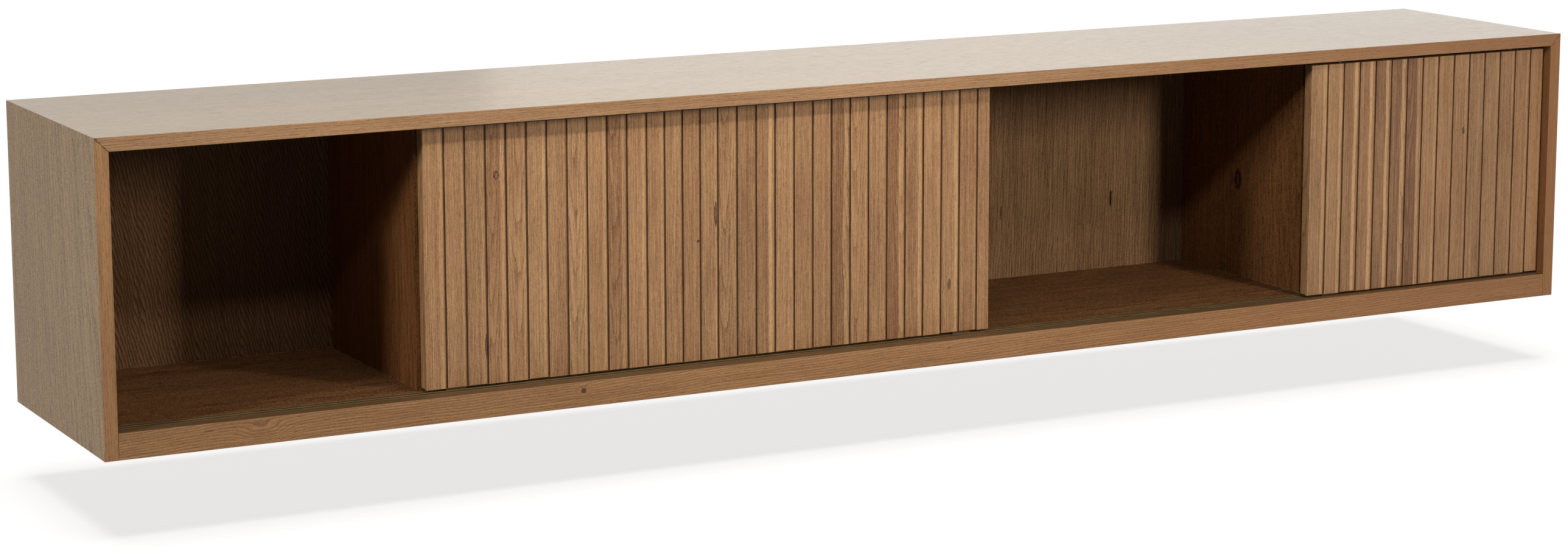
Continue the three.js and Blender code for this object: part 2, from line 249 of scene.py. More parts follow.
def carried(outline: Points, axis: Axis, start: End, end: End, ease: tuple[float, float],
            steps: int = 3) -> Surface:
    """Carry a closed outline along an axis, with its end edges eased.

    Near an end the outline is inset by the easing times one minus the cosine of an angle, at the
    easing times one minus its sine from the end, over a quarter turn.

    Args:
        outline: the counter-clockwise outline across the axis.
        axis: the axis of the run.
        start, end: a number, or a function of the outline's points for a mitred or uneven end.
        ease: the easing's radius at the start and at the end.
        steps: how many sides the easing has.

    Returns:
        The closed surface, its faces outwards.
    """
    move = inward(outline)
    angle = np.linspace(0, np.pi / 2, steps + 1)
    rings = []
    for place, radius, sign, turns in ((start, ease[0], 1, angle[::-1]), (end, ease[1], -1, angle)):
        for turn in turns:
            section = outline + move * radius * (1 - np.cos(turn))
            at = place(section) if callable(place) else np.full(len(section), place)
            rings.append(np.column_stack([section, at + sign * radius * (1 - np.sin(turn))]))
    return skinned(np.stack(rings), axis)


def turned(profile: Points, centre: Vector, axis: Axis, bored: bool = False,
           sides: int = 48) -> Surface:
    """Turn a profile about an axis through a centre.

    A point goes to its radius times the cosine and sine of each angle, at its height on the axis.

    Args:
        profile: rows of radius and height, closed on itself for a bored piece and otherwise from
            the lower end to the upper one, which get flat caps.
        centre: the piece's middle.
        axis: the axis of the turn.
        bored: whether the piece has a hole along its axis.
        sides: how many sides the circle has.

    Returns:
        The closed surface, its faces outwards.
    """
    angle = np.linspace(0, 2 * np.pi, sides, endpoint=False)
    radius, height = profile[:, 0:1], profile[:, 1:2]
    surface = skinned(np.stack([radius * np.cos(angle), radius * np.sin(angle),
                                np.repeat(height, sides, axis=1)], axis=-1), axis, bored)
    surface.points = surface.points + np.array(centre)
    return surface


def bevelled(radius: float, low: float, high: float, bevel: float) -> Points:
    """Give the profile of a rod whose two ends are bevelled, from its lower end up."""
    return np.array([[radius - bevel, low], [radius, low + bevel],
                     [radius, high - bevel], [radius - bevel, high]])


def rounded_rim(radius: float, half: float, rounding: float, count: int) -> Points:
    """Give a rim whose edges follow a half circle, with a straight part between the quarters.

    Args:
        radius, half: the rim's radius and half its width.
        rounding: the radius of its edges.
        count: how many points it has.

    Returns:
        Rows of radius and height.
    """
    turn = np.linspace(-np.pi / 2, np.pi / 2, count)
    return np.column_stack([radius - rounding + rounding * np.cos(turn),
                            np.sign(turn) * (half - rounding) + rounding * np.sin(turn)])


def math_method(operation: str, order: int = 1) -> Callable[..., "Wire"]:
    """Make the method for an operator; an order of -1 changes the operands round."""
    def work(*values: Feed) -> "Wire":
        """Add a Math node for the values."""
        return values[0].sheet.math(operation, *values[::order])
    return work


@dataclass(frozen=True)
class Wire:
    """A value in a node tree. Sums, products and powers of wires add Math nodes to it."""

    sheet: "NodeSheet"
    socket: NodeSocket

    __add__ = __radd__ = math_method("ADD")
    __sub__, __rsub__ = math_method("SUBTRACT"), math_method("SUBTRACT", -1)
    __mul__ = __rmul__ = math_method("MULTIPLY")
    __pow__, __abs__ = math_method("POWER"), math_method("ABSOLUTE")

    def spread(self, reach: float) -> "Wire":
        """Spread a value from 0 to 1 over minus the reach to plus the reach."""
        return (self - 0.5) * (reach * 2)

    def step(self, low: Feed, high: Feed) -> "Wire":
        """Rise smoothly from 0 at low to 1 at high."""
        return self.sheet.fed("ShaderNodeMapRange", self, low, high,
                              interpolation_type="SMOOTHSTEP")


class NodeSheet:
    """A node tree, with a short method for each kind of node that is used here."""

    def __init__(self, tree: NodeTree, output: str) -> None:
        """Empty the tree and give it its output node."""
        self.tree = tree
        tree.nodes.clear()
        self.output = self.node(output)

    def node(self, kind: str, **settings: object) -> Node:
        """Add a node and set its properties."""
        node = self.tree.nodes.new(kind)
        for key, value in settings.items():
            setattr(node, key, value)
        return node

    def feed(self, socket: NodeSocket, value: object) -> None:
        """Link a socket to a wire, or set it to a plain value."""
        if isinstance(value, Wire):
            self.tree.links.new(value.socket, socket)
        else:
            socket.default_value = value

    def fed(self, kind: str, *values: object, **settings: object) -> Wire:
        """Add a node, feed its inputs in order and give its first output."""
        node = self.node(kind, **settings)
        for socket, value in zip(node.inputs, values):
            self.feed(socket, value)
        return Wire(self, node.outputs[0])

    def math(self, operation: str, *values: Feed) -> Wire:
        """Work out one Math node of the named operation."""
        return self.fed("ShaderNodeMath", *values, operation=operation)

    def show(self, surface: Wire) -> None:
        """Put a shader on the output."""
        self.feed(self.output.inputs["Surface"], surface)

    def seen(self) -> Wire:
        """Give 1 to rays from the camera, from gloss and through glass, and 0 to diffuse ones."""
        path = self.node("ShaderNodeLightPath").outputs
        eye, gloss, glass = (Wire(self, path[kind]) for kind in (
            "Is Camera Ray", "Is Glossy Ray", "Is Transmission Ray"))
        return self.math("MAXIMUM", self.math("MAXIMUM", eye, gloss), glass)


class MaterialSheet(NodeSheet):
    """A material's node tree, with a base colour that shades are laid over."""

    def __init__(self, name: str) -> None:
        """Start an empty material with a Principled shader on its output."""
        self.material = bpy.data.materials.new(name)
        self.material.use_nodes = True
        super().__init__(self.material.node_tree, "ShaderNodeOutputMaterial")
        self.shader = self.node("ShaderNodeBsdfPrincipled")
        self.base: object = grey(1.0)
        self.show(Wire(self, self.shader.outputs[0]))

    @cached_property
    def place(self) -> tuple[Wire, ...]:
        """The x, y and z of the point on the object, in metres."""
        coordinates, parts = self.node("ShaderNodeTexCoord"), self.node("ShaderNodeSeparateXYZ")
        self.feed(parts.inputs[0], Wire(self, coordinates.outputs["Object"]))
        return tuple(Wire(self, part) for part in parts.outputs)

    def noise(self, x: Feed, y: Feed, z: Feed, detail: float = 2.0) -> Wire:
        """Read a noise from 0 to 1 at three coordinates that are already scaled."""
        return self.fed("ShaderNodeTexNoise", self.fed("ShaderNodeCombineXYZ", x, y, z),
                        0.0, 1.0, detail)

    def attribute(self, name: str) -> Wire:
        """Read a number that the mesh's faces carry."""
        return Wire(self, self.node("ShaderNodeAttribute", attribute_name=name).outputs["Fac"])

    def blend(self, share: Wire, under: object, over: object) -> Wire:
        """Mix two colours: all under at 0, all over at 1."""
        node = self.node("ShaderNodeMix", data_type="RGBA")
        for index, value in ((0, share), (6, under), (7, over)):
            self.feed(node.inputs[index], value)
        return Wire(self, node.outputs[2])

    def lay(self, share: Wire, shade: Colour) -> None:
        """Lay a shade over the base colour."""
        self.base = self.blend(share, self.base, shade)

    def bump(self, height: Wire, strength: float, distance: float) -> None:
        """Raise and lower the shading by a height from 0 to 1."""
        node = self.node("ShaderNodeBump")
        for key, value in (("Strength", strength), ("Distance", distance), ("Height", height)):
            self.feed(node.inputs[key], value)
        self.feed(self.shader.inputs["Normal"], Wire(self, node.outputs[0]))

    def finish(self, roughness: Feed, metallic: float = 0.0, ior: float = 1.5) -> Material:
        """Feed the shader's own sockets and hand over the material."""
        for key, value in (("Base Color", self.base), ("Roughness", roughness),
                           ("Metallic", metallic), ("IOR", ior)):
            self.feed(self.shader.inputs[key], value)
        return self.material


class Run(Enum):
    """The coordinates, 0 for x to 2 for z, along a board's grain, across it and through it."""

    ALONG_FLAT = (0, 1, 2)
    ALONG_UPRIGHT = (0, 2, 1)
    FACING_FRONT = (2, 0, 1)
    FACING_SIDE = (2, 1, 0)


class Figure(Enum):
    """The wood's figures: the length and width of their cells in millimetres, and their detail."""

    FIBRE = (75.0, 1.0, 3.0)
    THREAD = (12.0, 0.7, 1.0)
    PORE = (9.0, 0.75, 1.0)
    SPECK = (1.6, 1.3, 1.0)
    STREAK = (600.0, 3.4, 3.0)
    BLOTCH = (200.0, 45, 2.0)


@dataclass(frozen=True)
class Knot:
    """A knot or bark streak, its place along and across the grain and half width in millimetres.

    The stretch is its length over its width, the strength its darkness and the hollow how much
    paler its middle is than its rim.
    """

    along: float
    across: float
    radius: float
    stretch: float
    strength: float = 1.0
    hollow: float = 0.0


@dataclass(frozen=True)
class Mitre:
    """The dark line where the front edges meet in the case's upper corners."""

    half_width: float
    height: float
    board: float
    line: float = 0.6 * MM
    chip: float = 4.5 * MM


@dataclass(frozen=True)
class Tint:
    """A shade over one end of a piece, from none at the start to its full share at the end.

    The axis is 0 for x to 2 for z. A mirrored tint reads how far a place is from the middle.
    """

    axis: int
    start: float
    end: float
    shade: Colour
    share: float
    mirrored: bool = False

    def lay_on(self, sheet: MaterialSheet) -> None:
        """Lay the tint over a sheet's base colour."""
        place = sheet.place[self.axis]
        place = abs(place) if self.mirrored else place
        sheet.lay(place.step(self.start, self.end) * self.share, self.shade)


@dataclass(frozen=True)
class Leaf:
    """The darker veneer leaf on a board's front, left of a joint, with bolder, slanting rings."""

    joint: float
    behind: float
    taper: float
    shade: Colour
    share: float
    rings: float


@dataclass(frozen=True)
class Oak:
    """Oiled oak with growth rings, pores, streaks and knots, worked out through the whole board.

    The rings are circles round a pith outside the board, so a face near it shows arches and one
    far from it shows lines. The figures from rings to pores say how much each one shows.
    """

    name: str
    run: Run
    light: Colour
    dark: Colour
    pore: Colour
    pith_across: float = 0.32
    pith_depth: float = 0.05
    ring_pitch: float = 3.4 * MM
    rings: float = 0.26
    taper: float = 0.03
    wander: float = 10 * MM
    unevenness: float = 0.8
    grain_width: float = 1.0
    grain_length: float = 1.0
    fibre: float = 0.75
    speck: float = 0.45
    streak: float = 0.35
    blotch: float = 0.22
    pores: float = 0.55
    relief: float = 0.35
    roughness: float = 0.5
    ior: float = 1.45
    slatted: bool = False
    knots: tuple[Knot, ...] = ()
    knot_colour: Colour = rgb(70, 42, 24)
    mitre: Optional[Mitre] = None
    tints: tuple[Tint, ...] = ()
    leaf: Optional[Leaf] = None
    glint_height: Optional[float] = None

    def material(self) -> Material:
        """Build the oak's material."""
        return OakSheet(self).build()


class OakSheet(MaterialSheet):
    """The node tree of one oak, worked out on the board's own axes."""

    KNOT_BULGE, KNOT_FADE = 1.6, 0.06
    RING_SHARPNESS = 2.5
    SAP_PLACE = 0.12
    MITRE_SHARE = 0.85
    THREAD_SHARE = 0.30

    def __init__(self, oak: Oak) -> None:
        """Find the coordinates along the grain, across it and through the board.

        Args:
            oak: the finish to build.
        """
        super().__init__(oak.name)
        self.oak = oak
        self.board = [self.place[index] for index in oak.run.value]
        self.along, self.across, self.depth = self.board
        self.seed: Feed = 0.0
        if oak.slatted:
            self.seed = self.attribute("slat_seed")
            self.across = self.across - self.attribute("slat_centre")

    @cached_property
    def on_leaf(self) -> Wire:
        """1 on the left veneer leaf and 0 on the rest."""
        (x, y, _), leaf, soft = self.place, self.oak.leaf, 0.5 * MM
        return x.step(leaf.joint, leaf.joint - soft) * y.step(leaf.behind, leaf.behind - soft)

    def by_leaf(self, key: str) -> Feed:
        """Give the named value of the oak, or of its leaf where that lies."""
        rest, leaf = getattr(self.oak, key), self.oak.leaf
        return rest if leaf is None else self.on_leaf * (getattr(leaf, key) - rest) + rest

    def knot_masks(self) -> tuple[Feed, Feed]:
        """Work out the knots from the distance to each one's middle, in its own half widths.

        The bulge falls off with one plus its fourth power, and the dark core ends at 1.

        Returns:
            How far the rings bulge round the knots, and how dark the knots are.
        """
        push: Feed = 0.0
        core: Feed = 0.0
        along, across, _ = self.board
        for knot in self.oak.knots:
            radius = knot.radius * MM
            beside = (across - knot.across * MM) * (1 / radius)
            beyond = (along - knot.along * MM) * (1 / (radius * knot.stretch))
            square = beside ** 2.0 + beyond ** 2.0
            fade = square ** 2.0 * self.KNOT_FADE + 1.0
            push = push + self.math("DIVIDE", radius * self.KNOT_BULGE, fade)
            edge = square + self.noise(along * 260.0, across * 520.0, 0.0).spread(1.1)
            dark = edge.step(1.15, 0.75) - edge.step(0.55, 0.15) * knot.hollow
            core = self.math("MAXIMUM", core, dark * knot.strength)
        return push, core

    def ring_lines(self, push: Feed) -> Wire:
        """Work out the dark early wood of each growth ring.

        The rings are cones round a wandering pith. A ring's number is the distance from it, less
        the height along the grain times the taper, over the pitch; the line is a power of one
        minus the number's fraction.

        Args:
            push: how far the rings bulge.

        Returns:
            The darkness from 0 to 1.
        """
        oak, along, across = self.oak, self.along, self.across
        if oak.slatted:
            across = across + self.attribute("slat_pith")
        slow = self.noise(along * 1.9, self.seed + 2.1, 0.0)
        beside = across + oak.pith_across + slow.spread(oak.wander) + push
        radius = self.math("SQRT", beside ** 2.0 + (self.depth + oak.pith_depth) ** 2.0)
        uneven = self.noise(along * 9.0, across * 45.0, self.seed).spread(oak.unevenness)
        number = (radius - along * self.by_leaf("taper")) * (1 / oak.ring_pitch) + uneven
        return (1.0 - self.math("FRACT", number)) ** self.RING_SHARPNESS

    def slat_figure(self) -> Wire:
        """Shade a slat: dark heartwood left of a swaying boundary and a pale line right of it.

        Returns:
            What the slat adds to the shade.
        """
        sway = self.noise(self.along * 7.0, self.seed, 0.0).spread(0.12)
        beyond = self.across * (1 / SLAT_FACE) + 0.5 - (self.attribute("slat_split") + sway)
        heart = beyond.step(0.04, -0.04) * self.attribute("slat_heart")
        sap = abs(beyond - self.SAP_PLACE).step(0.12, 0.07) * self.attribute("slat_sap")
        return self.attribute("slat_tone") + sap - heart

    def mitre_line(self) -> Wire:
        """Draw the mitre's dark line, with chips where it meets the board's two faces.

        Returns:
            The line's share.
        """
        mitre, (x, _, z) = self.oak.mitre, self.place
        board = mitre.board
        off = abs((abs(x) - (mitre.half_width - mitre.height) - z) * math.sqrt(0.5))
        below = mitre.height - z
        near_face = self.math("MAXIMUM", below.step(board * 0.55, board),
                              below.step(board * 0.5, board * 0.2))
        ragged = self.noise(x * 700.0, 0.0, z * 700.0).step(0.5, 0.62)
        width = near_face * mitre.chip * ragged + mitre.line
        return off.step(width, width * 0.4) * below.step(board * 1.03, board) * self.MITRE_SHARE

    def glints(self) -> Wire:
        """Give the patches of light on the joint over the floor."""
        (x, y, z), foot = self.place, self.oak.glint_height
        patchy = self.noise(x * 60.0, y * 60.0, 0.0).step(0.45, 0.65)
        return z.step(foot + 1.0 * MM, foot + 0.4 * MM) * patchy

    def grain(self, figure: Figure) -> Wire:
        """Read one of the wood's figures, which are wider where the grain is; blotches aren't.

        Args:
            figure: the figure.

        Returns:
            A noise from 0 to 1.
        """
        length, width, detail = figure.value
        if figure is Figure.BLOTCH:
            width = width / self.oak.grain_width
        long = 1 / (length * MM * self.oak.grain_length)
        wide = 1 / (width * MM * self.oak.grain_width)
        return self.noise(self.along * long + self.seed * 3.7, self.across * wide,
                          self.depth * wide, detail)

    def build(self) -> Material:
        """Lay the colours, the relief and the roughness.

        The shade is a sum of streaks, blotches and ring lines; the pores are short dark dashes.

        Returns:
            The material.
        """
        oak = self.oak
        push, core = self.knot_masks()
        line = self.ring_lines(push)
        fibre = (self.grain(Figure.FIBRE) * (1 - self.THREAD_SHARE)
                 + self.grain(Figure.THREAD) * self.THREAD_SHARE)
        pores = self.grain(Figure.PORE).step(0.54, 0.66) * (line * 1.2 + 0.25)
        shade = (fibre.spread(oak.fibre) + 0.55
                 + self.grain(Figure.SPECK).spread(oak.speck)
                 + self.grain(Figure.STREAK).spread(oak.streak)
                 + self.grain(Figure.BLOTCH).spread(oak.blotch)
                 - line * (fibre * 1.5 + 0.25) * self.by_leaf("rings"))
        if oak.slatted:
            shade = shade + self.slat_figure()
        self.base = self.blend(shade, oak.dark, oak.light)
        if oak.slatted:
            self.lay(self.attribute("slat_blush"), SLAT_BLUSH)
            # Painted shade on the groove faces between the slats.
            self.lay(self.attribute("slat_groove_painted_shade"), GROOVE_PAINTED_SHADE)
        self.lay(pores * oak.pores, oak.pore)
        if oak.leaf is not None:
            self.lay(self.on_leaf * oak.leaf.share, oak.leaf.shade)
        if oak.knots:
            self.lay(core, oak.knot_colour)
        if oak.mitre is not None:
            self.lay(self.mitre_line(), MITRE_GLUE)
        for tint in oak.tints:
            tint.lay_on(self)
        if oak.glint_height is not None:
            self.lay(self.glints(), JOINT_GLINT)
        self.bump(fibre.spread(0.25) + 0.6 - pores * 0.5 - core * 0.2, oak.relief, 0.2 * MM)
        return self.finish(fibre.spread(oak.roughness * 0.2) + pores * (oak.roughness * 0.3)
                           + oak.roughness, ior=oak.ior)


@dataclass(frozen=True)
class Moulded:
    """A plain moulded or pressed finish: plastic, nylon or felt, mottled and finely textured."""

    name: str
    shade: Colour
    other_shade: Colour
    roughness: float
    texture_scale: float = 900.0
    texture_height: float = 0.05 * MM
    texture_strength: float = 0.2
    ior: float = 1.45
    tints: tuple[Tint, ...] = ()

    def material(self) -> Material:
        """Build the mottled colour and the fine bump from two noises of the object's coordinates.

        Returns:
            The material.
        """
        sheet = MaterialSheet(self.name)
        cloud, grit = (sheet.noise(*(value * scale for value in sheet.place), 3.0)
                       for scale in (45.0, self.texture_scale))
        sheet.bump(grit, self.texture_strength, self.texture_height)
        sheet.base = sheet.blend((cloud * 0.6 + grit * 0.4).step(0.35, 0.65),
                                 self.shade, self.other_shade)
        for tint in self.tints:
            tint.lay_on(sheet)
        return sheet.finish(grit.spread(0.08) + self.roughness, ior=self.ior)


@dataclass(frozen=True)
class DrawnMetal:
    """Extruded or turned metal with fine lines along its length."""

    name: str
    shade: Colour
    other_shade: Colour
    roughness: float

    def material(self) -> Material:
        """Build fine lines along X, which change the colour, the roughness and the height.

        Returns:
            The material.
        """
        sheet = MaterialSheet(self.name)
        x, y, z = sheet.place
        lines = sheet.noise(x * 6.0, y * 2600.0, z * 2600.0)
        cloud = sheet.noise(x * 20.0, y * 60.0, z * 60.0)
        sheet.bump(lines, 0.12, 0.03 * MM)
        sheet.base = sheet.blend(lines * 0.5 + cloud * 0.5, self.shade, self.other_shade)
        return sheet.finish(lines.spread(0.12) + self.roughness, metallic=1.0)


class Slot(Enum):
    """The record's material slots."""

    TOP = "top_oak"
    SIDE = "side_oak"
    EDGE = "edge_oak"
    INNER = "inner_oak"
    SLAT = "slat_oak"
    PLAIN = "plain_board"
    ALUMINIUM = "bronze_aluminium"
    PLASTIC = "brown_plastic"
    NYLON = "white_nylon"
    STEEL = "steel"
    FELT = "felt"


def linked(name: str, data: ID) -> Object:
    """Put a mesh, lamp or camera into the scene."""
    thing = bpy.data.objects.new(name, data)
    bpy.context.scene.collection.objects.link(thing)
    return thing


def add_piece(name: str, surface: Surface, material: Material, body: str, slot: Slot,
              *replaced: str) -> None:
    """Make a piece, dress it and let it ride on its body.

    Args:
        name: the piece's name.
        surface: its vertices and faces, in place.
        material: its finish.
        body: the CAD body that it moves with.
        slot: the record's slot for its finish; not used.
        replaced: the CAD nodes that it stands for.
    """
    piece = linked(name, surface.mesh(name))
    piece.data.materials.append(material)
    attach(piece, body)
    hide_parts(*replaced)
    LOG.info("%s: %d faces, on %s, for %s", name, len(surface.faces), body, ", ".join(replaced))


def dress(node: str, material: Material) -> None:
    """Give a CAD node that stays on show its finish, in each of its material slots.

    Args:
        node: the CAD node.
        material: its finish.
    """
    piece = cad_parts[node]
    for slot in piece.material_slots:
        slot.material = material
    if not piece.material_slots:
        piece.data.materials.append(material)
    LOG.info("%s: dressed with %s", node, material.name)


def plain_board_finish() -> Oak:
    """Give the plainer, lighter oak of the boards that face the wall and the floor."""
    return Oak("plain_oak_board", Run.ALONG_FLAT, rgb(176, 146, 108), rgb(140, 110, 76),
               rgb(104, 78, 52), roughness=0.62)


@dataclass
class Joinery:
    """Boards that stand for the case's CAD nodes, with the easing of their edges."""

    ease: float = 0.7 * MM
    tight: float = 0.15 * MM

    def board(self, name: str, node: str, axis: Axis, radii: Radii, material: Material,
              slot: Slot, corners: Optional[list[list[float]]] = None,
              ends: tuple[Optional[End], Optional[End]] = (None, None), foot: float = 1.0) -> None:
        """Carry a board's section along an axis, from end to end of its node.

        Args:
            name, node: the names of the board and of the CAD node that it stands for.
            axis: the axis of its run.
            radii: the easing of its section's corners.
            material, slot: its finish and the record's slot for it.
            corners: its section's corners, where it isn't a plain rectangle.
            ends: its start and end, where they aren't the node's.
            foot: the easing of its start, in tight ones.
        """
        box = Box.of(node)
        section = box.across(axis) if corners is None else np.array(corners)
        start, end = (own or plain for own, plain in zip(ends, box.along(axis)))
        surface = carried(eased_outline(section, radii), axis, start, end,
                          (self.tight * foot, self.tight))
        add_piece(name, surface, material, "case", slot, node)


@dataclass
class Case(Joinery):
    """The fixed case: mitred top and sides, front edges, rail, floor, back and dividers."""

    knots_in_rail: tuple[Knot, ...] = (
        Knot(-518, 23, 3.6, 1.1), Knot(-1058, 26, 0.9, 7.0, strength=0.8),
        Knot(70, 25.5, 2.0, 2.4, strength=0.35), Knot(-983, 13, 8, 2.0, strength=0.12),
    )
    knots_in_divider: tuple[Knot, ...] = (
        Knot(192.5, 24, 9, 1.8, hollow=0.45), Knot(56, 86, 1.4, 1.6, strength=0.8),
        Knot(75, -48, 1.5, 2.0, strength=0.8), Knot(188, -142, 2.0, 3.2, strength=0.6),
    )
    knots_in_back: tuple[Knot, ...] = (
        Knot(150, 598, 1.7, 8.0), Knot(142, 390, 1.5, 8.0, strength=0.6),
    )
    knots_in_floor: tuple[Knot, ...] = (
        Knot(-1017, 138, 1.8, 9.0, strength=0.85), Knot(414, -65, 1.0, 6.0, strength=0.8),
    )
    knots_in_top: tuple[Knot, ...] = (Knot(-462, -127, 1.0, 2.0, strength=0.6),)

    def __post_init__(self) -> None:
        """Read the case's driving sizes from the frame."""
        self.top, self.side = Box.of("top_panel"), Box.of("left_side_panel")
        self.lipping, self.rail = Box.of("top_front_edge"), Box.of("front_rail")
        self.floor, self.strip = Box.of("floor_panel"), Box.of("guide_strip")
        self.half_width, self.height = self.top.high.x, self.top.high.z

    def mitred(self, hand: int) -> Callable[[Points], Points]:
        """Give a board's end along X from points of y and z: it meets the side at 45 degrees."""
        return lambda section: hand * (self.half_width - (self.height - section[:, 1]))

    def mitred_up(self, hand: int) -> Callable[[Points], Points]:
        """Give a side's upper end from points of x and y: it meets the top at 45 degrees."""
        return lambda section: self.height - (self.half_width - hand * section[:, 0])

    def edge_oaks(self) -> dict[str, Oak]:
        """Describe the oak of the front edges and the rail, browner toward the case's right end.

        Returns:
            The finish of each of them.
        """
        seam, crest = self.lipping.high.y, self.rail.high.z
        # The front edges and the rail turn darker and browner toward the case's right end.
        browner_rightward = Tint(0, -0.1, 1.2, rgb(126, 82, 44), 0.5)
        glue = Tint(1, seam - 0.7 * MM, seam - 0.3 * MM, rgb(60, 36, 22), 0.7)
        # Painted shade: the rail's top face is painted darker.
        painted_crest_shade = Tint(2, crest - 0.35 * MM, crest - 0.05 * MM, rgb(56, 43, 24), 0.75)
        top_edge = Oak(
            "oiled_oak_top_edge", Run.ALONG_UPRIGHT, rgb(184, 144, 105), rgb(128, 94, 64),
            rgb(88, 62, 42), fibre=1.0, tints=(browner_rightward, glue),
            mitre=Mitre(self.half_width, self.height, self.lipping.size.z))
        side_edge = replace(top_edge, name="oiled_oak_side_edge", run=Run.FACING_FRONT,
                            light=rgb(182, 138, 94), dark=rgb(126, 89, 56))
        rail = replace(
            side_edge, name="oiled_oak_rail", run=Run.ALONG_UPRIGHT, mitre=None, pith_across=0.03,
            pith_depth=0.225, wander=16 * MM, rings=0.66, taper=0.035, fibre=1.1, speck=0.7,
            knots=self.knots_in_rail, tints=(replace(browner_rightward, share=0.35), painted_crest_shade))
        return {"top_edge": top_edge, "side_edge": side_edge, "rail": rail}

    def outer_oaks(self) -> dict[str, Oak]:
        """Describe the pale oak of the top and the sides, whose inner faces are painted browner,
        partly as painted shade of the case's inside.

        Returns:
            The finish of each of them.
        """
        lining = self.half_width - self.side.size.x
        # Painted shade, in part: the sides' inner faces are painted browner.
        inside = Tint(0, lining + 0.6 * MM, lining + 0.2 * MM, rgb(118, 74, 40), 0.8, mirrored=True)
        pore = rgb(88, 62, 42)
        top = Oak(
            "oiled_oak_top", Run.ALONG_FLAT, rgb(172, 144, 99), rgb(126, 102, 66), pore,
            pith_across=0.55, rings=0.14, roughness=0.28, ior=1.5, relief=0.03, grain_width=2.6,
            grain_length=3.0, fibre=1.0, speck=0.35, pores=0.35, knots=self.knots_in_top,
            # This tint paints the top darker and browner toward its right end, a painted tone that
            # warms the sheen there.
            tints=(Tint(0, 0.3, 1.0, rgb(110, 84, 48), 0.5),))
        side = Oak(
            "oiled_oak_side", Run.FACING_SIDE, rgb(172, 142, 102), rgb(108, 84, 55), pore,
            ior=1.33, grain_width=1.5, fibre=1.0, speck=0.95, relief=0.10, tints=(inside,))
        return {"top": top, "side": side}

    def inner_oaks(self) -> dict[str, Oak]:
        """Describe the oak inside the case, whose darker, duller and more saturated colours are
        partly painted shade of the case's inside.

        Returns:
            The finish of each board.
        """
        floor = Oak(
            "oiled_oak_floor", Run.ALONG_FLAT, rgb(136, 95, 61), rgb(76, 48, 27), rgb(52, 32, 18),
            knot_colour=rgb(30, 16, 8), ior=1.15, grain_width=3.0, fibre=1.7, speck=1.8,
            streak=0.7, knots=self.knots_in_floor, rings=0.14)
        left = replace(
            floor, name="oiled_oak_left_divider", run=Run.FACING_SIDE, light=rgb(136, 90, 52),
            dark=rgb(78, 47, 24), grain_width=1.8, fibre=1.2, speck=0.8, streak=0.35, knots=(),
            glint_height=self.floor.high.z)
        right = replace(left, name="oiled_oak_right_divider", light=rgb(136, 92, 55),
                        dark=rgb(77, 48, 26), knots=self.knots_in_divider)
        middle = Box.of("back_panel").middle.y
        back = replace(
            left, name="oiled_oak_back", run=Run.FACING_FRONT, light=rgb(152, 119, 86),
            dark=rgb(84, 58, 38), pith_across=0.55, pith_depth=-0.15, taper=0.06, wander=30 * MM,
            rings=0.34, ring_pitch=5.0 * MM, grain_width=1.3, unevenness=1.6, fibre=1.0,
            speck=0.65, pores=0.50, knots=self.knots_in_back,
            leaf=Leaf(-0.4, middle, 0.26, rgb(58, 35, 18), share=0.30, rings=0.95))
        return {"floor": floor, "left": left, "right": right, "back": back}

    def build_top(self, panel: Material, edge: Material) -> None:
        """Build the top with the track's recess, and its front edge.

        Args:
            panel, edge: their finishes.
        """
        (_, front, low), (_, back, high) = self.top.low, self.top.high
        track, ease, tight = Box.of("top_track"), self.ease, self.tight
        corners = [[front, low], [track.low.y, low], [track.low.y, track.high.z],
                   [track.high.y, track.high.z], [track.high.y, low], [back, low],
                   [back, high], [front, high]]
        mitres = (self.mitred(-1), self.mitred(1))
        self.board("top_board", "top_panel", Axis.X, [tight] * 5 + [tight * 4, tight * 5, tight],
                   panel, Slot.TOP, corners, mitres)
        self.board("top_edge_lipping", "top_front_edge", Axis.X, [ease, tight, tight, ease], edge,
                   Slot.EDGE, ends=mitres)

    def build_side(self, hand: int, word: str, panel: Material, edge: Material) -> None:
        """Build one side and its front edge, both mitred at the top.

        Args:
            hand, word: -1 and "left", or 1 and "right".
            panel, edge: their finishes.
        """
        ease, tight, ends = self.ease, self.tight, (None, self.mitred_up(hand))
        self.board(f"{word}_side_board", f"{word}_side_panel", Axis.Z, [tight, tight, ease, ease],
                   panel, Slot.SIDE, ends=ends, foot=3.0)
        self.board(f"{word}_edge_lipping", f"{word}_front_edge", Axis.Z,
                   [ease, ease, tight, tight], edge, Slot.EDGE, ends=ends, foot=3.0)

    def build(self) -> None:
        """Build every board of the case, each in its own cut of oak."""
        plain = plain_board_finish().material()
        oaks = {**self.outer_oaks(), **self.edge_oaks(), **self.inner_oaks()}
        finish = {key: oak.material() for key, oak in oaks.items()}
        box, strip, ease, tight = self.floor, self.strip, self.ease, self.tight
        self.build_top(finish["top"], finish["top_edge"])
        for hand, word in ((-1, "left"), (1, "right")):
            self.build_side(hand, word, finish["side"], finish["side_edge"])
        self.board("rail_board", "front_rail", Axis.X, [ease, tight, tight, ease * 1.3],
                   finish["rail"], Slot.EDGE)
        rebated = [[box.low.y, box.low.z], [box.high.y, box.low.z], [box.high.y, box.high.z],
                   [strip.high.y, box.high.z], [strip.high.y, strip.low.z],
                   [box.low.y, strip.low.z]]
        self.board("floor_board", "floor_panel", Axis.X, tight, finish["floor"], Slot.INNER,
                   rebated)
        self.board("underside_board", "bottom_panel", Axis.X, tight * 2, plain, Slot.PLAIN)
        for key, name, node in (("back", "back_board", "back_panel"),
                                ("left", "left_divider_board", "left_divider"),
                                ("right", "right_divider_board", "right_divider")):
            self.board(name, node, Axis.Z, tight * 2, finish[key], Slot.INNER)


